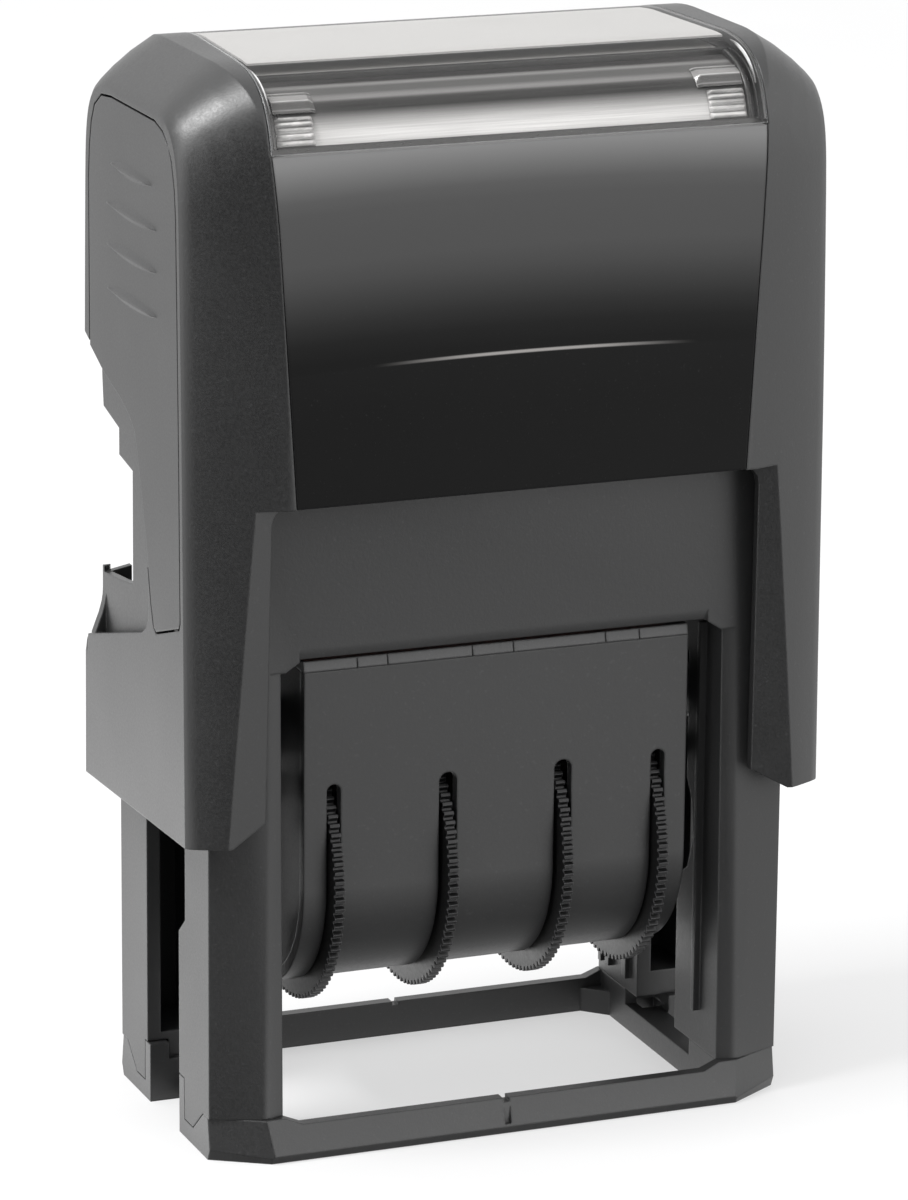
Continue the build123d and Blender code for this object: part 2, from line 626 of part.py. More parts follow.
def make_dater_chassis():
    """Two end plates with pivot bosses and lugs, joined by a front and a rear bar."""
    plate = u_solid(DATER_Y - COVER_WALL - 0.05, COVER_TOP - 0.05, 16.2, 17.3)
    plate += rod_x(2.6, 17.2, 19.4, 0, PIVOT_Z)
    plate += rod_x(LUG_R, 17.2, 21.0, 0, PIVOT_Z - LUG_RHO)
    plate -= rod_x(PIN_R, 15, 20, 0, PIVOT_Z)
    plate -= rod_x(AXLE_R + 0.02, 15, 17.05, 0, WHEEL_Z)
    plate -= block(15, 16.75, -2.75, 2.75, 40.25, 43)
    chassis = both(plate)
    for sy in SIDES:
        chassis += block(-16.4, 16.4, sy * 8.7, sy * 9.6, 33.5, 41.5)
    return one(chassis)


def make_print_bar():
    bar = block(-16.7, 16.7, -2.7, 2.7, 40.3, 43.1)
    bar = fillet(bar.edges().filter_by(Axis.X), 0.9)
    return bar - both(block(15.3, 18, -4, 4, 41.5, 44))


def band_opening():
    """The opening through which the date bands reach the print face."""
    return block(-15.5, 15.5, -4.5, 4.5, 40, 45)


def make_print_plate():
    section = symmetric([(-10.67, COVER_TOP + 0.02), (-10.43, PLATE_TOP)])
    plate = prism_yz(section, -DATER_X, DATER_X)
    plate -= band_opening()
    # fine cuts in the front edge
    for x in (-12.6, -9.9, -2.3, 1.4, 9.8, 12.9):
        plate -= block(x - 0.05, x + 0.05, -12, -10.4, 41, 43)
    return one(plate)


TEXT_SPANS = ((-14.6, -9.4), (-8.8, -2.2), (-1.6, 3.6), (4.2, 8.4), (9.0, 14.6))  # x0, x1


def make_text_die():
    """A raised border round the date, with a row of bars before and behind it."""
    border = block(-16.6, 16.6, -6.6, 6.6, 43.7, PRINT_Z)
    border -= block(-16.05, 16.05, -6.05, 6.05, 43, 46)
    die = block(-16.6, 16.6, -6.6, 6.6, PLATE_TOP, 43.7) + border
    die -= band_opening()
    for sy in SIDES:
        for x0, x1 in TEXT_SPANS:
            die += block(x0, x1, sy * 4.95, sy * 5.55, 43.6, PRINT_Z)
    return one(die)


def make_pivot_pin():
    return rod_x(PIN_R, 16.25, 27.2, 0, PIVOT_Z)


def make_wheel_axle():
    return rod_x(AXLE_R, -17.0, 17.0, 0, WHEEL_Z)


# one tooth: place within the tooth pitch, radius
TOOTH = ((0.0, WHEEL_ROOT_R), (0.22, WHEEL_ROOT_R), (0.45, WHEEL_R), (0.77, WHEEL_R))


def make_wheel(wheel_x, hub_x0, hub_x1):
    """Toothed setting wheel with its hub."""
    rim = []
    for i in range(WHEEL_TEETH):
        for place, radius in TOOTH:
            angle = 2 * math.pi * (i + place) / WHEEL_TEETH
            rim.append((radius * math.cos(angle), WHEEL_Z + radius * math.sin(angle)))
    wheel = prism_yz(rim, wheel_x - WHEEL_T / 2, wheel_x + WHEEL_T / 2)
    wheel += rod_x(HUB_R, hub_x0, hub_x1, 0, WHEEL_Z)
    wheel -= rod_x(AXLE_R + 0.05, -20, 20, 0, WHEEL_Z)
    return one(wheel)


# ---- date bands ----
DIGIT_X, DIGIT_Y = 1.05, 1.9   # half width and half height of a figure
STROKE = 0.5
DIGIT_PITCH = 3.1
# strokes of a figure as read on paper: x0, x1, y0, y1
STROKES = {
    "a": (-DIGIT_X, DIGIT_X, DIGIT_Y - STROKE, DIGIT_Y),
    "b": (DIGIT_X - STROKE, DIGIT_X, 0, DIGIT_Y),
    "c": (DIGIT_X - STROKE, DIGIT_X, -DIGIT_Y, 0),
    "d": (-DIGIT_X, DIGIT_X, -DIGIT_Y, -DIGIT_Y + STROKE),
    "e": (-DIGIT_X, -DIGIT_X + STROKE, -DIGIT_Y, 0),
    "f": (-DIGIT_X, -DIGIT_X + STROKE, 0, DIGIT_Y),
    "g": (-DIGIT_X, DIGIT_X, -STROKE / 2, STROKE / 2),
}
FIGURES = {"0": "abcdef", "1": "bc", "2": "abged", "6": "afgedc", "7": "abc"}


def digit(figure, centre_x):
    """A raised figure, mirrored left to right as a stamp carries it."""
    bars = []
    for name in FIGURES[figure]:
        x0, x1, y0, y1 = STROKES[name]
        bars.append(block(centre_x - x1, centre_x - x0, y0, y1, 43.8, PRINT_Z))
    raised = bars[0]
    for bar in bars[1:]:
        raised += bar
    return raised


def band_solid(radius, top, corner, x0, x1):
    """Half round below, flat with rounded corners on top, along x."""
    z = WHEEL_Z
    bend = corner * (1 - math.sqrt(0.5))
    shoulder, flat_y = top - corner, radius - corner
    right_bend, left_bend = (radius - bend, top - bend), (-radius + bend, top - bend)
    face = make_face([
        ThreePointArc((-radius, z), (0, z - radius), (radius, z)).edge(),
        Line((radius, z), (radius, shoulder)).edge(),
        ThreePointArc((radius, shoulder), right_bend, (flat_y, top)).edge(),
        Line((flat_y, top), (-flat_y, top)).edge(),
        ThreePointArc((-flat_y, top), left_bend, (-radius, shoulder)).edge(),
        Line((-radius, shoulder), (-radius, z)).edge(),
    ])
    return extrude_x(Plane.YZ * face, x0, x1)


def make_band(x0, x1, text):
    band = band_solid(BAND_IN_R + BAND_T, 43.9, 1.6, x0, x1)
    band -= band_solid(BAND_IN_R, 43.9 - BAND_T, 0.9, x0 - 1, x1 + 1)
    first_x = (x0 + x1) / 2 - DIGIT_PITCH * (len(text) - 1) / 2
    for i, figure in enumerate(text):
        band += digit(figure, first_x + i * DIGIT_PITCH)
    return one(band)


# ---- all pieces in place ----
def make_pieces():
    outer = cap_body()
    outline = slab(0, 22.4)
    cap_shell = make_cap_shell(outer)
    front_panel = make_front_panel(outline)
    button = make_lock_button(outer)
    pin = make_pivot_pin()
    # the drawer's grip stands out as far as the front of the cap
    reach_y = max(-piece.bounding_box().min.Y for piece in (cap_shell, front_panel))
    pieces = {
        "inner_housing": make_inner_housing(),
        "foot_frame": make_foot_frame(),
        "spring_left": make_spring(-1),
        "spring_right": make_spring(1),
        "cap_shell": cap_shell,
        "front_panel": front_panel,
        "index_window": make_index_window(outline),
        "index_card": make_index_card(),
        "lock_button_left": left_of(button),
        "lock_button_right": button,
        "ink_pad_tray": make_ink_pad_tray(reach_y),
        "ink_pad_felt": make_ink_pad_felt(),
        "dater_chassis": make_dater_chassis(),
        "dater_cover": make_dater_cover(),
        "print_bar": make_print_bar(),
        "print_plate": make_print_plate(),
        "text_die": make_text_die(),
        "pivot_pin_left": left_of(pin),
        "pivot_pin_right": pin,
        "wheel_axle": make_wheel_axle(),
    }
    for i, (wheel_x, _, hub_span, band_span, text) in enumerate(DATE_SETS, 1):
        pieces[f"wheel_{i}"] = make_wheel(wheel_x, *hub_span)
        pieces[f"band_{i}"] = make_band(*band_span, text)
    return pieces


os.makedirs("parts", exist_ok=True)
for name, shape in make_pieces().items():
    export_step(shape, "parts/" + name + ".step")
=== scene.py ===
"""Self-inking date stamp with a clear index window on its cap.

It stands upright on the floor: +Z is up, the front faces -Y and its left side faces -X.
The CAD pieces get their materials here, and the details inside the window are modelled.
Lengths are in metres; those written in millimetres are multiplied by MM.
"""
import math
from bisect import bisect_left
from functools import cached_property

import bpy
import bmesh
from mathutils import Matrix, Vector


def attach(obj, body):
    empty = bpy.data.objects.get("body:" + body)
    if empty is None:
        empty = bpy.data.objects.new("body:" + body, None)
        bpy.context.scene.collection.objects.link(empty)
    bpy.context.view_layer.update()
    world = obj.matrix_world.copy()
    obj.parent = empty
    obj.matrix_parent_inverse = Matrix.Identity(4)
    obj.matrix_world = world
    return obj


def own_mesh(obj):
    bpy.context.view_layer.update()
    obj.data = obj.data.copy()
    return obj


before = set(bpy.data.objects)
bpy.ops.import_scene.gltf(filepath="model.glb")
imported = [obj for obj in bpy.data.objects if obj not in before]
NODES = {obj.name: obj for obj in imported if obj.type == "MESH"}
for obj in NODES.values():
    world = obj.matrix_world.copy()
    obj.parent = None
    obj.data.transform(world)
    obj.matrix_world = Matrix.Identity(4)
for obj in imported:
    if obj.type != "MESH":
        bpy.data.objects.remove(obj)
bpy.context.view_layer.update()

MM = 0.001
WHITE = (1.0, 1.0, 1.0)

# the window slabs' UV map: V runs over this stretch of arc length (mm)
V_ARC_START = 10.5
V_ARC_LENGTH = 11.0


def arc_to_v(arc):
    return (arc - V_ARC_START) / V_ARC_LENGTH


def scaled(colour, gain, offset=0.0):
    return tuple(v * gain + offset for v in colour)


def srgb_to_linear(tone):
    """Linear value of a display grey, 0..255."""
    share = tone / 255.0
    return share / 12.92 if share <= 0.04045 else ((share + 0.055) / 1.055) ** 2.4


# ------------------------------------------------------------------ node helpers
class Nodes:
    """Builds the node tree of a material or world; values are numbers or sockets."""

    def __init__(self, owner):
        owner.use_nodes = True
        self.owner = owner
        self.tree = owner.node_tree
        self.tree.nodes.clear()

    def put(self, socket, value):
        """Links or sets an input; None leaves it alone, and colours get an alpha of 1."""
        if value is None:
            return
        if isinstance(value, bpy.types.NodeSocket):
            self.tree.links.new(value, socket)
        elif socket.type == "RGBA":
            socket.default_value = (*value, 1.0)
        else:
            socket.default_value = value

    def add(self, kind, inputs=(), **props):
        node = self.tree.nodes.new(kind)
        for key, value in props.items():
            setattr(node, key, value)
        for key, value in dict(inputs).items():
            self.put(node.inputs[key], value)
        return node

    def math(self, operation, first, second=0.0):
        inputs = {0: first, 1: second, 2: 0.0}
        return self.add("ShaderNodeMath", inputs, operation=operation).outputs[0]

    def plus(self, first, second):
        return self.math("ADD", first, second)

    def minus(self, first, second):
        return self.math("SUBTRACT", first, second)

    def times(self, first, second):
        return self.math("MULTIPLY", first, second)

    def linear(self, value, span, to=(0.0, 1.0), interpolation="LINEAR"):
        """Maps the span onto the range `to`."""
        inputs = {"Value": value, "From Min": span[0], "From Max": span[1],
                  "To Min": to[0], "To Max": to[1]}
        node = self.add("ShaderNodeMapRange", inputs, interpolation_type=interpolation)
        return node.outputs["Result"]

    def smooth(self, value, span, to=(0.0, 1.0)):
        return self.linear(value, span, to, interpolation="SMOOTHSTEP")

    @cached_property
    def coord(self):
        return self.add("ShaderNodeTexCoord").outputs["Object"]

    def separate(self, vector):
        return self.add("ShaderNodeSeparateXYZ", {0: vector}).outputs

    def stretched(self, vector, scale):
        return self.add("ShaderNodeMapping", {"Vector": vector, "Scale": scale}).outputs[0]

    def noise(self, scale, detail, rough, vector=None):
        inputs = {"Vector": self.coord if vector is None else vector,
                  "Scale": scale, "Detail": detail, "Roughness": rough}
        return self.add("ShaderNodeTexNoise", inputs).outputs["Fac"]

    def mix(self, factor, first, second):
        """Colour mix."""
        inputs = {0: factor, 6: first, 7: second}
        return self.add("ShaderNodeMix", inputs, data_type="RGBA").outputs[2]

    def tint(self, colour, over, mask, amount):
        """Lays a colour over another where the mask is 1, by an amount."""
        return self.mix(self.times(mask, amount), colour, over)

    def ramp(self, value, stops):
        """Grey ramp; stops are (position 0..1, display grey 0..255)."""
        node = self.add("ShaderNodeValToRGB", {0: value})
        elements = node.color_ramp.elements
        while len(elements) < len(stops):
            elements.new(0.5)
        for element, (position, _) in zip(elements, stops):
            element.position = position
        for element, (_, tone) in zip(elements, stops):
            element.color = (*[srgb_to_linear(tone)] * 3, 1.0)
        return node.outputs[0]

    def arc_bands(self, uv_v, stops):
        """Grey bands across a window slab; stops are (arc length in mm, display grey)."""
        return self.ramp(uv_v, [(arc_to_v(arc), tone) for arc, tone in stops])

    def bump(self, height, strength, distance, normal=None):
        inputs = {"Strength": strength, "Distance": distance, "Height": height,
                  "Normal": normal}
        return self.add("ShaderNodeBump", inputs).outputs["Normal"]

    def edge(self, radius):
        """(rounded normal, mask that is 1 along convex and concave edges)"""
        rounded = self.add("ShaderNodeBevel", {"Radius": radius}, samples=4).outputs[0]
        true_normal = self.add("ShaderNodeNewGeometry").outputs["Normal"]
        dot = self.add("ShaderNodeVectorMath", {0: rounded, 1: true_normal},
                       operation="DOT_PRODUCT")
        return rounded, self.smooth(dot.outputs["Value"], span=(0.995, 0.80))

    def principled(self, base, rough, normal=None, metallic=0.0, specular=0.5, more=()):
        inputs = {"Base Color": base, "Roughness": rough, "Normal": normal,
                  "Metallic": metallic, "Specular IOR Level": specular, **dict(more)}
        return self.add("ShaderNodeBsdfPrincipled", inputs).outputs[0]

    def mix_shader(self, factor, first, second):
        return self.add("ShaderNodeMixShader", {0: factor, 1: first, 2: second}).outputs[0]

    def surface(self, shader):
        """Closes a material with its output and returns it."""
        self.add("ShaderNodeOutputMaterial", {"Surface": shader})
        return self.owner


def new_look(name):
    return Nodes(bpy.data.materials.new(name))


# ------------------------------------------------------------------ materials
# noise is mostly remapped over its middle range
MID = (0.3, 0.7)


def moulded(name, base, rough, grain=0.00022, bump=0.35, edge=0.3, lift=1.8,
            radius=0.00022, specular=0.8):
    """Moulded plastic: a grain of the given size, faint flow marks and polished edges.

    edge is how far the edges' colour goes towards the base colour times lift, a painted
    highlight; radius is their width.
    """
    tree = new_look(name)
    fine = tree.noise(scale=1.0 / grain, detail=3.0, rough=0.65)
    mid = tree.noise(scale=1.0 / (grain * 3.2), detail=2.0, rough=0.5)
    flow = tree.noise(scale=55.0, detail=3.0, rough=0.55)
    speck = tree.noise(scale=1.0 / (grain * 1.4), detail=1.0, rough=0.3)
    height = tree.plus(tree.times(fine, 0.7), tree.times(mid, 0.5))
    normal, mask = tree.edge(radius)

    colour = tree.mix(tree.smooth(flow, span=MID), scaled(base, gain=0.90),
                      scaled(base, gain=1.10))
    colour = tree.tint(colour, over=scaled(base, gain=1.5),
                       mask=tree.smooth(fine, span=(0.35, 0.7)), amount=0.55)
    colour = tree.tint(colour, over=scaled(base, gain=3.0),
                       mask=tree.smooth(speck, span=(0.66, 0.80)), amount=0.35)
    # painted highlight: the colour is lightened along the edges
    colour = tree.tint(colour, over=scaled(base, gain=lift), mask=mask, amount=edge)

    # rougher in the grain, smoother along the edges
    grain_rough = tree.linear(fine, span=MID, to=(rough - 0.04, rough + 0.06))
    roughness = tree.plus(grain_rough, tree.linear(flow, span=MID, to=(-0.025, 0.025)))
    roughness = tree.minus(roughness, tree.times(mask, 0.08))
    normal = tree.bump(height, strength=bump, distance=grain * 0.16, normal=normal)
    return tree.surface(tree.principled(colour, roughness, normal, specular=specular))


# the label's painted sheen, a reflection painted into its colour: (height z in mm at the
# middle of the panel, display grey)
LABEL_PAINTED_SHEEN = [
    (69.4, 10), (71.0, 20), (72.6, 36), (74.3, 52), (76.0, 65), (77.6, 72), (81.6, 74),
    (82.8, 80), (84.0, 97), (85.9, 120),
]


def gloss_label(name):
    """Black gloss panel: a painted sheen, a reflection painted into its colour, that fades
    downwards to a thin pale arc, then deep black.
    """
    arc_z = 68.72 * MM
    arc_curve = 1.5       # how fast the arc drops away from the middle, per metre
    arc_middle_x = 0.95 * MM
    sheen_base_z = 68.7   # mm; the height the sheen's stops are counted from
    reach_below, reach_above = 1.0, 18.0   # mm around the arc that the ramp covers

    tree = new_look(name)
    x, _, z = tree.separate(tree.coord)
    arc = tree.minus(arc_z, tree.times(tree.times(x, x), arc_curve))
    above = tree.minus(z, arc)
    position = tree.linear(above, span=(-reach_below * MM, reach_above * MM))
    # painted sheen: lighter higher up the panel, a reflection painted into the colour
    sheen = tree.ramp(position, [(0.0, 9)] + [
        ((height - sheen_base_z + reach_below) / (reach_below + reach_above), tone)
        for height, tone in LABEL_PAINTED_SHEEN])
    # the line fades out towards both sides
    side = tree.smooth(tree.math("ABSOLUTE", tree.minus(x, arc_middle_x)),
                       span=(14.6 * MM, 3.5 * MM))
    line = tree.times(tree.smooth(tree.math("ABSOLUTE", above), span=(0.19 * MM, 0.05 * MM)),
                      side)
    below = tree.times(tree.smooth(above, span=(0.0, -4.5 * MM), to=(0.7, 0.0)),
                       tree.math("LESS_THAN", above, 0.0))
    dust = tree.smooth(tree.noise(scale=5200.0, detail=1.0, rough=0.4), span=(0.70, 0.80))
    normal, mask = tree.edge(radius=0.00025)

    colour = tree.tint(sheen, over=(0.006, 0.006, 0.0062), mask=below, amount=0.4)
    colour = tree.tint(colour, over=(0.36, 0.345, 0.335), mask=line, amount=0.85)
    colour = tree.tint(colour, over=(0.2, 0.2, 0.2), mask=dust, amount=0.04)
    # painted highlight: the colour is lightened along the edges
    colour = tree.tint(colour, over=(0.05, 0.05, 0.052), mask=mask, amount=0.3)
    smear = tree.noise(scale=130.0, detail=4.0, rough=0.6)
    roughness = tree.plus(tree.linear(smear, span=MID, to=(0.10, 0.16)),
                          tree.times(mask, 0.1))
    ripple = tree.noise(scale=420.0, detail=2.0, rough=0.5)
    normal = tree.bump(ripple, strength=0.04, distance=0.00004, normal=normal)
    return tree.surface(tree.principled(colour, roughness, normal, specular=0.10))


def painted_reflection(name, stops):
    """Strip carrying a painted reflection: grey bands of painted reflection across it, with
    fine streaks along it and duller ends.
    """
    tree = new_look(name)
    uv_map = tree.add("ShaderNodeUVMap").outputs[0]
    uv_u, uv_v, _ = tree.separate(uv_map)
    streak = tree.noise(scale=1.0, detail=3.0, rough=0.6,
                        vector=tree.stretched(uv_map, scale=(3.0, 60.0, 1.0)))
    ends = tree.smooth(tree.math("ABSOLUTE", tree.minus(uv_u, 0.5)), span=(0.30, 0.47))
    colour = tree.mix(tree.linear(streak, span=MID, to=(0.0, 0.32)),
                      tree.arc_bands(uv_v, stops), (0.10, 0.10, 0.10))
    colour = tree.tint(colour, over=(0.12, 0.12, 0.12), mask=ends, amount=0.18)
    roughness = tree.linear(streak, span=MID, to=(0.30, 0.48))
    normal = tree.bump(streak, strength=0.15, distance=0.00003)
    return tree.surface(tree.principled(colour, roughness, normal, specular=0.3))


def banded(name, stops, streak, rough=0.16, glint_dashes=0.0):
    """Clear moulded detail with painted light: grey bands of painted highlight and shade
    across its facets, streaks and small painted glints.
    """
    tree = new_look(name)
    _, uv_v, _ = tree.separate(tree.add("ShaderNodeUVMap").outputs[0])
    fine = tree.noise(scale=1500.0, detail=3.0, rough=0.6,
                      vector=tree.stretched(tree.coord, scale=(0.35, 1.0, 1.0)))
    colour = tree.tint(tree.arc_bands(uv_v, stops), over=(0.12, 0.12, 0.122),
                       mask=tree.smooth(fine, span=(0.52, 0.34)), amount=streak)
    # painted glints: white dashes over the fine noise
    if glint_dashes:
        colour = tree.tint(colour, over=(0.93, 0.93, 0.93),
                           mask=tree.smooth(fine, span=(0.56, 0.68)), amount=glint_dashes)
    normal, mask = tree.edge(radius=0.00012)
    # painted highlight: the colour is lightened along the edges
    colour = tree.tint(colour, over=(0.75, 0.75, 0.75), mask=mask, amount=0.35)
    roughness = tree.linear(fine, span=MID, to=(rough - 0.05, rough + 0.10))
    normal = tree.bump(fine, strength=0.12, distance=0.00004, normal=normal)
    return tree.surface(tree.principled(colour, roughness, normal, specular=0.6))


def clear(name):
    """Clear plastic: mirror-like at a slant, pale along its edges as a painted highlight,
    faintly scuffed.
    """
    tree = new_look(name)
    normal, mask = tree.edge(radius=0.00020)
    wave = tree.noise(scale=60.0, detail=2.0, rough=0.4)
    scuff = tree.smooth(tree.noise(scale=700.0, detail=3.0, rough=0.7), span=(0.58, 0.78))
    normal = tree.bump(wave, strength=0.05, distance=0.0001, normal=normal)
    # 1 on faces seen from outside, 0 on their backs
    front = tree.minus(1.0, tree.add("ShaderNodeNewGeometry").outputs["Backfacing"])

    fresnel = tree.add("ShaderNodeFresnel", {"IOR": 1.45, "Normal": normal}).outputs[0]
    glossy = tree.add("ShaderNodeBsdfGlossy", {
        "Color": (0.9, 0.9, 0.9),
        "Roughness": tree.plus(0.05, tree.times(scuff, 0.12)),
        "Normal": normal}).outputs[0]
    see_through = tree.add("ShaderNodeBsdfTransparent",
                           {"Color": (0.978, 0.974, 0.970)}).outputs[0]
    reflectance = 0.50
    pane = tree.mix_shader(tree.times(tree.times(fresnel, reflectance), front),
                           see_through, glossy)

    # an opaque pale surface: a painted highlight along the edges, real scuffs over the faces
    pale = tree.principled((0.62, 0.63, 0.64),
                           tree.linear(scuff, span=(0.0, 1.0), to=(0.16, 0.4)), normal)
    edge_glint_share, scuff_share = 0.55, 0.015
    edge_glint_and_scuff_share = tree.plus(tree.times(mask, edge_glint_share), tree.times(scuff, scuff_share))
    return tree.surface(tree.mix_shader(tree.times(edge_glint_and_scuff_share, front), pane, pale))


def card(name):
    """Off-white card with fibres and faint blotches."""
    tree = new_look(name)
    fibre = tree.noise(scale=2600.0, detail=4.0, rough=0.7)
    blot = tree.noise(scale=160.0, detail=3.0, rough=0.5)
    colour = tree.mix(tree.smooth(fibre, span=MID), (0.37, 0.366, 0.360),
                      (0.42, 0.416, 0.409))
    colour = tree.tint(colour, over=(0.335, 0.331, 0.325),
                       mask=tree.smooth(blot, span=(0.4, 0.8)), amount=0.2)
    roughness = tree.linear(fibre, span=MID, to=(0.55, 0.75))
    normal = tree.bump(fibre, strength=0.25, distance=0.00003)
    return tree.surface(tree.principled(colour, roughness, normal, specular=0.3))


def rubber(name, base):
    """Matt rubber with blotches, dust in its grain and paler edges."""
    grain = 0.00016
    tree = new_look(name)
    fine = tree.noise(scale=1.0 / grain, detail=3.0, rough=0.6)
    blot = tree.noise(scale=240.0, detail=3.0, rough=0.6)
    normal, mask = tree.edge(radius=0.00012)
    colour = tree.mix(tree.smooth(blot, span=(0.3, 0.75)), scaled(base, gain=0.75),
                      scaled(base, gain=1.2))
    colour = tree.tint(colour, over=scaled(base, gain=2.5, offset=0.05),
                       mask=tree.smooth(fine, span=(0.55, 0.75)), amount=0.12)
    colour = tree.tint(colour, over=scaled(base, gain=1.7), mask=mask, amount=0.35)
    roughness = tree.linear(fine, span=MID, to=(0.58, 0.75))
    normal = tree.bump(fine, strength=0.4, distance=grain * 0.2, normal=normal)
    return tree.surface(tree.principled(colour, roughness, normal, specular=0.35))


def felt(name):
    """Dark blue-black felt, shinier where it is wet with ink."""
    tree = new_look(name)
    wet_span = (0.35, 0.7)
    fibre = tree.noise(scale=3800.0, detail=5.0, rough=0.75)
    wet = tree.noise(scale=260.0, detail=3.0, rough=0.55)
    colour = tree.mix(tree.smooth(wet, span=wet_span), (0.010, 0.010, 0.022),
                      (0.022, 0.022, 0.05))
    colour = tree.tint(colour, over=(0.07, 0.07, 0.12),
                       mask=tree.smooth(fibre, span=(0.5, 0.8)), amount=0.5)
    roughness = tree.linear(wet, span=wet_span, to=(0.32, 0.85))
    normal = tree.bump(fibre, strength=0.8, distance=0.00008)
    return tree.surface(tree.principled(colour, roughness, normal, specular=0.4,
                                        more={"Sheen Weight": 0.25}))


def steel(name, base, rough):
    """Bare steel with marks drawn out along X."""
    tree = new_look(name)
    drawn = tree.noise(scale=9000.0, detail=3.0, rough=0.6,
                       vector=tree.stretched(tree.coord, scale=(0.08, 1.0, 1.0)))
    spot = tree.noise(scale=900.0, detail=3.0, rough=0.6)
    normal, mask = tree.edge(radius=0.00012)
    colour = tree.mix(tree.smooth(spot, span=(0.35, 0.75)), scaled(base, gain=0.8), base)
    colour = tree.tint(colour, over=(0.8, 0.8, 0.82), mask=mask, amount=0.4)
    roughness = tree.plus(tree.linear(drawn, span=MID, to=(rough - 0.07, rough + 0.10)),
                          tree.times(tree.smooth(spot, span=(0.5, 0.8)), 0.08))
    normal = tree.bump(drawn, strength=0.25, distance=0.00002, normal=normal)
    return tree.surface(tree.principled(colour, roughness, normal, metallic=1.0))


# bands across the window details, painted highlight and shade on them and the painted
# reflection on the strip: (arc length in mm, display grey)
STRIP_BANDS = [
    (10.9, 222), (11.5, 233), (12.2, 236), (12.9, 205), (13.7, 150), (14.4, 96),
    (14.9, 34), (15.8, 34), (16.2, 60), (16.55, 128), (16.9, 122), (17.5, 78),
    (18.5, 72), (18.95, 128), (19.2, 120), (19.6, 40), (21.0, 46),
]
RIB_BANDS = [
    (11.1, 150), (11.35, 214), (11.7, 206), (12.35, 178), (12.5, 226), (12.75, 172),
    (13.3, 156), (13.45, 216), (13.65, 146), (14.0, 178), (14.15, 112), (14.4, 92),
]
LATCH_BANDS = [
    (14.75, 44), (15.0, 52), (15.1, 128), (15.25, 76), (15.85, 72), (15.98, 120),
    (16.08, 190), (16.2, 134), (17.0, 126), (17.15, 58), (17.35, 66), (17.48, 168),
]
GLINT_BANDS = [(14.2, 60), (15.4, 120), (16.6, 226), (18.4, 236), (19.6, 130), (20.6, 60)]

PLASTIC = (0.0146, 0.0148, 0.0151)
CAP = moulded("cap_plastic", PLASTIC, rough=0.40)
GRIP = moulded("grip_plastic", PLASTIC, rough=0.44, grain=0.00020, bump=0.4)
HOUSING = moulded("housing_plastic", PLASTIC, rough=0.48, grain=0.00020, bump=0.4)
FOOT = moulded("foot_plastic", PLASTIC, rough=0.44, grain=0.00020)
DATER = moulded("dater_plastic", PLASTIC, rough=0.40, grain=0.00026, bump=0.2)
INNER = moulded("inner_plastic", (0.010, 0.0101, 0.0104), rough=0.36, bump=0.15,
                specular=0.6)
# edges lightened strongly: painted glints on the wheels' teeth
WHEEL = moulded("wheel_plastic", (0.0045, 0.0045, 0.0047), rough=0.42, grain=0.0003,
                bump=0.1, edge=0.8, lift=22.0, radius=0.00012, specular=0.5)
PLATE = moulded("plate_plastic", (0.046, 0.0464, 0.047), rough=0.46, grain=0.00018,
                bump=0.4)
LABEL = gloss_label("gloss_label")
CLEAR = clear("clear_window")
PAINTED_REFLECTION = painted_reflection("painted_reflection_strip", STRIP_BANDS)
RIBS = banded("clear_ribs", RIB_BANDS, streak=0.35, glint_dashes=0.5)
LATCH = banded("clear_latch", LATCH_BANDS, streak=0.25)
GLINT = banded("window_glint", GLINT_BANDS, streak=0.15, rough=0.12)
# dark plastic for the rims and sill, also used for the painted-shade slabs at the window's
# edges; its lightened edges are a painted highlight
RIM_AND_GAP_SHADE = moulded("window_rim_and_gap_shade_plastic", (0.016, 0.0162, 0.0165), rough=0.30, bump=0.1,
              edge=0.6, lift=6.0, radius=0.00012)
CARD = card("index_card")
DIE = rubber("die_rubber", (0.26, 0.075, 0.05))
BAND = rubber("band_rubber", (0.055, 0.052, 0.05))
FELT = felt("ink_felt")
SPRING = steel("spring_wire", base=(0.55, 0.55, 0.57), rough=0.26)
STEEL = steel("ground_steel", base=(0.58, 0.58, 0.60), rough=0.24)

LOOKS = {
    "inner_housing": HOUSING, "foot_frame": FOOT,
    "spring_left": SPRING, "spring_right": SPRING,
    "cap_shell": CAP, "front_panel": LABEL, "index_window": CLEAR, "index_card": CARD,
    "lock_button_left": GRIP, "lock_button_right": GRIP,
    "ink_pad_tray": INNER, "ink_pad_felt": FELT,
    "dater_chassis": INNER, "dater_cover": DATER,
    "print_bar": INNER, "print_plate": PLATE, "text_die": DIE,
    "pivot_pin_left": STEEL, "pivot_pin_right": STEEL, "wheel_axle": STEEL,
    **{f"wheel_{i}": WHEEL for i in range(1, 5)},
    **{f"band_{i}": BAND for i in range(1, 5)},
}


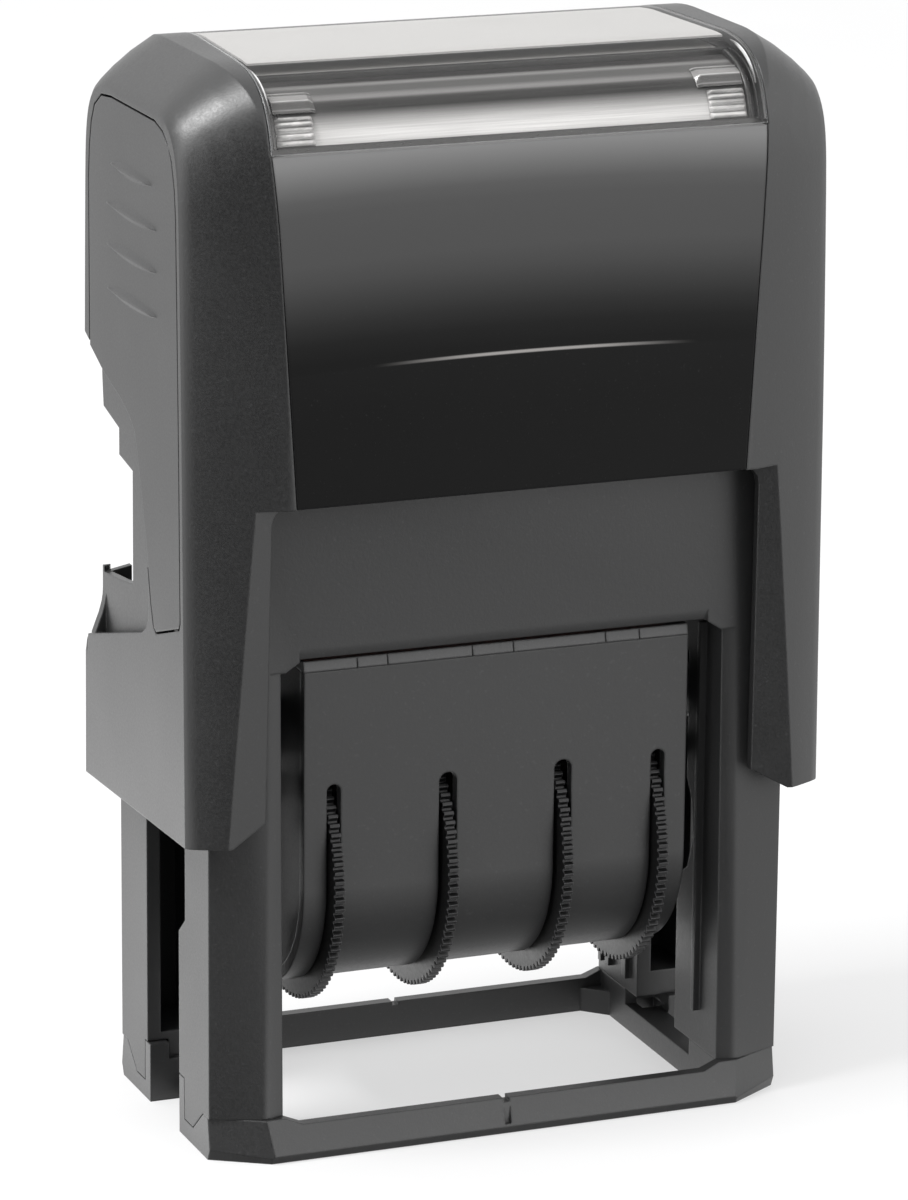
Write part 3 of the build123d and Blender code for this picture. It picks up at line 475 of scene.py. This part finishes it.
# ------------------------------------------------------------------ mesh finish
def smooth_group(angle):
    """A geometry node group that shades smooth but keeps edges sharper than the angle."""
    group = bpy.data.node_groups.new(f"smooth_{angle}", "GeometryNodeTree")
    for direction in ("INPUT", "OUTPUT"):
        group.interface.new_socket("Geometry", in_out=direction,
                                   socket_type="NodeSocketGeometry")
    start = group.nodes.new("NodeGroupInput")
    end = group.nodes.new("NodeGroupOutput")
    face = group.nodes.new("GeometryNodeSetShadeSmooth")
    face.domain = "FACE"
    face.inputs["Shade Smooth"].default_value = True
    edge_angle = group.nodes.new("GeometryNodeInputMeshEdgeAngle")
    compare = group.nodes.new("FunctionNodeCompare")
    compare.data_type = "FLOAT"
    compare.operation = "GREATER_THAN"
    compare.inputs[1].default_value = math.radians(angle)
    edge = group.nodes.new("GeometryNodeSetShadeSmooth")
    edge.domain = "EDGE"
    edge.inputs["Shade Smooth"].default_value = False
    link = group.links.new
    link(start.outputs[0], face.inputs["Geometry"])
    link(face.outputs[0], edge.inputs["Geometry"])
    link(edge_angle.outputs["Unsigned Angle"], compare.inputs[0])
    link(compare.outputs[0], edge.inputs["Selection"])
    link(edge.outputs[0], end.inputs[0])
    return group


SMOOTH = smooth_group(angle=25)


def finish_mesh(piece):
    """Welds the piece and gives it smooth shading with weighted normals."""
    piece.modifiers.new("weld", "WELD").merge_threshold = 1e-6
    piece.modifiers.new("smooth", "NODES").node_group = SMOOTH
    weighted = piece.modifiers.new("weighted", "WEIGHTED_NORMAL")
    weighted.keep_sharp = True
    weighted.weight = 80


def add_object(name, data):
    made = bpy.data.objects.new(name, data)
    bpy.context.scene.collection.objects.link(made)
    return made


for name, piece in NODES.items():
    piece.data.materials.clear()
    piece.data.materials.append(LOOKS[name])
    finish_mesh(piece)

# the return springs, which shorten by the cap's stroke towards their lower ends, get meshes
# of their own
for name in ("spring_left", "spring_right"):
    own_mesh(NODES[name])

# ------------------------------------------------------------------ the window's outline
# the window from the side, up the front and back over the roof: (y, z) in mm
RIDGE = [
    (-16.06, 54.0), (-15.86, 66.0), (-15.68, 75.5), (-15.50, 81.0), (-15.10, 84.6),
    (-14.40, 87.3), (-13.25, 89.6), (-11.40, 91.2), (-9.00, 92.05), (-6.20, 92.38),
    (-4.00, 92.4), (0.0, 92.4), (4.0, 92.4), (6.20, 92.38), (9.0, 92.05), (11.4, 91.2),
]
RIDGE_START = 2   # arc length is counted from this point of the ridge
RIDGE_STEPS = 24  # curve points per stretch of the ridge

HALF_WIDTH = 21.76       # mm, over the front
NARROWING_Y = -6.4       # mm; behind this the window narrows
NARROWING = (1.04, 15.9)  # mm lost from the half width, over mm of depth


def catmull(points, index, share):
    """Catmull-Rom point at a share of the way from one point to the next."""
    last = len(points) - 1
    around = [points[index - 1], points[index], points[index + 1],
              points[min(index + 2, last)]]
    return tuple(
        0.5 * (2 * here + (ahead - before) * share
               + (2 * before - 5 * here + 4 * ahead - after) * share * share
               + (3 * here - before - 3 * ahead + after) * share ** 3)
        for before, here, ahead, after in zip(*around))


OUTLINE = [catmull(RIDGE, i, step / RIDGE_STEPS)
           for i in range(RIDGE_START, len(RIDGE) - 1) for step in range(RIDGE_STEPS)]
ARC = [0.0]
for start, end in zip(OUTLINE, OUTLINE[1:]):
    ARC.append(ARC[-1] + math.dist(start, end))


def on_outline(arc, depth):
    """Point (y, z) at an arc length along the outline, moved in by depth."""
    i = bisect_left(ARC, arc)
    share = (arc - ARC[i - 1]) / (ARC[i] - ARC[i - 1])
    y, z = (a + share * (b - a) for a, b in zip(OUTLINE[i - 1], OUTLINE[i]))
    # the direction is taken over a few points, to even it out
    start, end = OUTLINE[i - 3], OUTLINE[i + 2]
    length = math.dist(start, end)
    along_y, along_z = (end[0] - start[0]) / length, (end[1] - start[1]) / length
    return y + along_z * depth, z - along_y * depth


def half_width(y):
    """Half the window's width: straight over the front, narrowing over the roof."""
    lost, over = NARROWING
    return HALF_WIDTH - max(0.0, y - NARROWING_Y) * lost / over


def arc_at(y):
    """Arc length at which the outline reaches y on the roof."""
    i = next(k for k in range(1, len(OUTLINE)) if OUTLINE[k][0] >= y)
    share = (y - OUTLINE[i - 1][0]) / (OUTLINE[i][0] - OUTLINE[i - 1][0])
    return ARC[i - 1] + share * (ARC[i] - ARC[i - 1])


# ------------------------------------------------------------------ window details
def steps(start, end, count):
    return [start + (end - start) * k / count for k in range(count + 1)]


def level(depth):
    return lambda across, along: depth


def curved_slab(name, span, arcs, outer, inner, columns, look):
    """A closed curved slab under the outline that rides on the window.

    span is its (left, right) x and arcs are its rows' arc lengths. outer is a function
    giving the outer face's depth by (share across, share along); inner is a depth.
    """
    left, right = span
    rows = len(arcs) - 1
    mesh = bmesh.new()
    uv_layer = mesh.loops.layers.uv.new("UVMap")
    grid = {}
    for side, depth_at in ((0, outer), (1, level(inner))):
        for i in range(columns + 1):
            for j, arc in enumerate(arcs):
                across = i / columns
                y, z = on_outline(arc, depth_at(across, j / rows))
                x = (left + (right - left) * across) * half_width(y) / HALF_WIDTH
                grid[side, i, j] = mesh.verts.new((x * MM, y * MM, z * MM))

    def quad(*keys):
        face = mesh.faces.new([grid[key] for key in keys])
        for loop, (_, i, j) in zip(face.loops, keys):
            loop[uv_layer].uv = (i / columns, arc_to_v(arcs[j]))

    # outer and inner faces
    for i in range(columns):
        for j in range(rows):
            quad((0, i, j), (0, i + 1, j), (0, i + 1, j + 1), (0, i, j + 1))
            quad((1, i, j), (1, i, j + 1), (1, i + 1, j + 1), (1, i + 1, j))
    # walls along the first and last rows, then along the two ends
    for i in range(columns):
        quad((0, i, 0), (1, i, 0), (1, i + 1, 0), (0, i + 1, 0))
        quad((0, i, rows), (0, i + 1, rows), (1, i + 1, rows), (1, i, rows))
    for j in range(rows):
        quad((0, 0, j), (0, 0, j + 1), (1, 0, j + 1), (1, 0, j))
        quad((0, columns, j), (1, columns, j), (1, columns, j + 1), (0, columns, j + 1))
    bmesh.ops.recalc_face_normals(mesh, faces=mesh.faces[:])
    data = bpy.data.meshes.new(name)
    mesh.to_mesh(data)
    mesh.free()
    slab = add_object(name, data)
    data.materials.append(look)
    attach(slab, "window")
    finish_mesh(slab)


def rib_depth(across, along):
    """Five rounded ribs, sunk at both ends of the block."""
    wave = abs(math.sin(math.pi * 5 * along)) ** 0.6
    edge = min(1.0, min(across, 1 - across) * 9.0) ** 0.5
    return SHELF_DEPTH - 0.10 - 0.40 * wave * edge


def latch_depth(sign, width):
    """A raised ridge along the tab, low rims and a bevel at the end nearest the middle."""
    crest = 0.47
    bevel = 0.45

    def depth(across, along):
        from_free_end = (1 - across if sign < 0 else across) * width
        ridge = max(0.0, 1 - abs(along - crest) / (crest if along < crest else 0.53))
        rise = 0.10 + 0.28 * ridge + (0.06 if along > 0.93 or along < 0.06 else 0.0)
        return 1.54 - rise * min(1.0, from_free_end / bevel)

    return depth


def rim_depth(across, along):
    """Rounded across, dropping to square shoulders at both sides."""
    return 1.34 - 0.14 * math.sin(math.pi * across) ** 0.5 if 0 < across < 1 else 1.40


def glint_depth(across, along):
    return 0.12 + 0.2 * abs(2 * along - 1) ** 3


def sill_depth(across, along):
    return 1.30 - 0.08 * math.sin(math.pi * along)


def mirrored(sign, near, far):
    """The x span between two distances from the middle, on the left (-1) or right (1)."""
    return sorted((sign * near, sign * far))


SIDES = (("left", -1), ("right", 1))
DETAIL_X = 20.65      # mm; half the width over the ribs, latches and sill
SHELF_DEPTH = 1.62    # mm; where the ribs, rims and sill end, just above the strip
LATCH_INNER_X = {"left": 16.9, "right": 16.6}
FIRST_ARC = 11.0      # mm; lower end of the rims, seals and sill
REAR = arc_at(9.40)
# depths of the dark slabs of painted shade inside the window's thickness
GAP_SHADE_TOP, GAP_SHADE_FOOT = 0.07, 0.95

# a strip under the window that only carries the painted reflection seen through the window
curved_slab("window_strip", (-20.75, 20.75), steps(10.95, 20.9, 60), level(1.66), 1.80,
            columns=24, look=PAINTED_REFLECTION)
for side, sign in SIDES:
    curved_slab(f"window_ribs_{side}", mirrored(sign, 17.35, DETAIL_X),
                steps(11.4, 14.35, 60), rib_depth, SHELF_DEPTH, columns=18, look=RIBS)
for side, sign in SIDES:
    span = mirrored(sign, LATCH_INNER_X[side], DETAIL_X)
    curved_slab(f"window_latch_{side}", span, steps(14.75, 17.55, 34),
                latch_depth(sign, span[1] - span[0]), 1.63, columns=24, look=LATCH)
for side, sign in SIDES:
    curved_slab(f"window_rim_{side}", mirrored(sign, 20.7, 21.3),
                steps(FIRST_ARC, 20.8, 60), rim_depth, SHELF_DEPTH, columns=8, look=RIM_AND_GAP_SHADE)
for side, sign in SIDES:
    # dark slabs inside the window's thickness along its ends: painted shade for the shadowed
    # gap at the window's edges
    curved_slab(f"window_gap_shade_{side}", mirrored(sign, 21.50, 21.70),
                steps(FIRST_ARC, REAR, 110), level(GAP_SHADE_TOP), GAP_SHADE_FOOT, columns=2,
                look=RIM_AND_GAP_SHADE)
    # thin bright slabs inside the window along its bends: a painted glint
    curved_slab(f"window_glint_{side}", mirrored(sign, 21.26, 21.38),
                steps(14.2, 20.6, 48), glint_depth, 0.40, columns=2, look=GLINT)
curved_slab("window_sheet", (-21.0, 21.0), steps(arc_at(-7.0), arc_at(9.12), 40),
            level(0.16), 0.34, columns=24, look=CARD)
# the same painted shade along the window's back edge
curved_slab("window_gap_shade_rear", (-21.4, 21.4), steps(arc_at(9.18), REAR, 3),
            level(GAP_SHADE_TOP), GAP_SHADE_FOOT, columns=24, look=RIM_AND_GAP_SHADE)
curved_slab("window_sill", (-DETAIL_X, DETAIL_X), steps(FIRST_ARC, 11.36, 6), sill_depth,
            SHELF_DEPTH, columns=24, look=RIM_AND_GAP_SHADE)


# ------------------------------------------------------------------ stage and world
def studio_level(tree, x, y, z):
    """How bright the studio looks from the object in a direction.

    It is dark behind the camera, with pale walls and a bright band in front.
    """
    camera_x, camera_y = -0.373, -0.928   # level direction towards the camera
    tiny = 1e-5                           # keeps the division safe straight up and down
    flat = tree.math("SQRT", tree.plus(tree.plus(tree.times(x, x), tree.times(y, y)), tiny))
    towards = tree.plus(tree.times(x, camera_x), tree.times(y, camera_y))
    towards = tree.math("DIVIDE", towards, flat)
    around = tree.smooth(towards, span=(0.94, 0.68), to=(0.0, 1.05))
    around = tree.math("MAXIMUM", around, tree.smooth(z, span=(0.45, 0.85)))
    # brightest a little above level, dimmer below and overhead
    rise = tree.smooth(z, span=(-0.74, 0.26), to=(0.18, 2.9))
    rise = tree.times(rise, tree.smooth(z, span=(0.35, 0.80), to=(1.0, 0.40)))
    front = tree.times(tree.times(around, rise),
                       tree.smooth(x, span=(0.40, 0.80), to=(1.0, 0.54)))
    back = tree.smooth(y, span=(-0.45, 0.30))
    back_level = 1.10
    return tree.plus(tree.times(front, tree.minus(1.0, back)), tree.times(back, back_level))


def floor_look():
    """Pale matt sweep; in reflections it takes the studio's brightness."""
    tree = new_look("floor")
    tree.owner.cycles.emission_sampling = "NONE"
    colour = tree.mix(tree.noise(scale=40.0, detail=3.0, rough=0.5),
                      (0.385, 0.385, 0.387), (0.40, 0.40, 0.402))
    matt = tree.principled(colour, rough=0.9, specular=0.0,
                           more={"Emission Color": WHITE, "Emission Strength": 0.50})

    geometry = tree.add("ShaderNodeNewGeometry").outputs
    ray = [tree.times(part, -1.0) for part in tree.separate(geometry["Incoming"])]
    place = tree.separate(geometry["Position"])
    x, y = tree.math("ABSOLUTE", place[0]), tree.math("ABSOLUTE", place[1])
    # painted shade: in reflections the floor is darker under the object
    away = tree.math("MAXIMUM", tree.smooth(x, span=(16 * MM, 32 * MM)),
                     tree.smooth(y, span=(8 * MM, 20 * MM)))
    # painted light: brighter close to it, for rays running backwards and, closer in, forwards
    radius = tree.math("SQRT", tree.plus(tree.times(x, x), tree.times(y, y)))
    near = tree.times(tree.smooth(radius, span=(210 * MM, 80 * MM)),
                      tree.smooth(ray[1], span=(0.2, 0.7)))
    near = tree.plus(near, tree.times(tree.smooth(radius, span=(62 * MM, 36 * MM)),
                                      tree.smooth(ray[1], span=(-0.2, -0.7))))
    strength = tree.times(studio_level(tree, *ray),
                          tree.linear(away, span=(0.0, 1.0), to=(0.4, 1.0)))
    strength = tree.times(strength, tree.linear(near, span=(0.0, 1.0), to=(1.0, 1.9)))
    glow = tree.add("ShaderNodeEmission", {"Color": WHITE, "Strength": strength})
    glossy_ray = tree.add("ShaderNodeLightPath").outputs["Is Glossy Ray"]
    return tree.surface(tree.mix_shader(glossy_ray, matt, glow.outputs[0]))


def build_floor(half_side):
    data = bpy.data.meshes.new("floor")
    mesh = bmesh.new()
    bmesh.ops.create_grid(mesh, x_segments=2, y_segments=2, size=half_side)
    mesh.to_mesh(data)
    mesh.free()
    data.materials.append(floor_look())
    add_object("floor", data)


def build_world(soft_level, camera_level):
    """Even light for soft rays, the studio for reflections, plain white for the camera."""
    world = bpy.data.worlds.new("studio")
    bpy.context.scene.world = world
    tree = Nodes(world)
    direction = tree.separate(tree.add("ShaderNodeTexCoord").outputs["Generated"])
    rays = tree.add("ShaderNodeLightPath").outputs
    glossy, camera_ray = rays["Is Glossy Ray"], rays["Is Camera Ray"]
    soft = tree.times(tree.minus(1.0, glossy), soft_level)
    light = tree.plus(soft, tree.times(glossy, studio_level(tree, *direction)))
    light = tree.plus(tree.times(light, tree.minus(1.0, camera_ray)),
                      tree.times(camera_ray, camera_level))
    background = tree.add("ShaderNodeBackground", {"Color": WHITE, "Strength": light})
    tree.add("ShaderNodeOutputWorld", {"Surface": background.outputs[0]})


build_floor(half_side=3.0)
build_world(soft_level=1.06, camera_level=1.0)


# ------------------------------------------------------------------ light and camera
def square_light(name, place, target, size, power):
    data = bpy.data.lights.new(name, "AREA")
    data.energy = power
    data.shape = "RECTANGLE"
    data.size = size
    data.size_y = size
    light = add_object(name, data)
    light.location = place
    aim = Vector(target) - Vector(place)
    light.rotation_euler = aim.to_track_quat("-Z", "Y").to_euler()


def build_camera(target, distance, azimuth, elevation, roll, lens):
    """Looks at the target (mm) from a distance (mm); angles in degrees, 0 is the front."""
    data = bpy.data.cameras.new("camera")
    data.sensor_width = 36.0
    data.lens = lens
    data.clip_start = 0.01
    data.clip_end = 20
    camera = add_object("camera", data)
    azimuth, elevation, roll = map(math.radians, (azimuth, elevation, roll))
    back = Vector((math.sin(azimuth) * math.cos(elevation),
                   -math.cos(azimuth) * math.cos(elevation), math.sin(elevation)))
    right = Vector((math.cos(azimuth), math.sin(azimuth), 0))
    up = back.cross(right)
    rolled_right = right * math.cos(roll) + up * math.sin(roll)
    rolled_up = -right * math.sin(roll) + up * math.cos(roll)
    place = Vector(target) * MM + back * distance * MM
    rows = zip(rolled_right, rolled_up, back, place)
    camera.matrix_world = Matrix((*rows, (0, 0, 0, 1)))
    bpy.context.scene.camera = camera


square_light("key_left", place=(-0.44, -0.04, 0.66), target=(0, 0, 0.05), size=0.23,
             power=4.4)
build_camera(target=(0.2241, 0, 43.4325), distance=497.407, azimuth=-21.8823,
             elevation=15.5481, roll=0.5452, lens=174.996)

bpy.context.scene.view_settings.view_transform = "Standard"
bpy.context.scene.view_settings.look = "None"
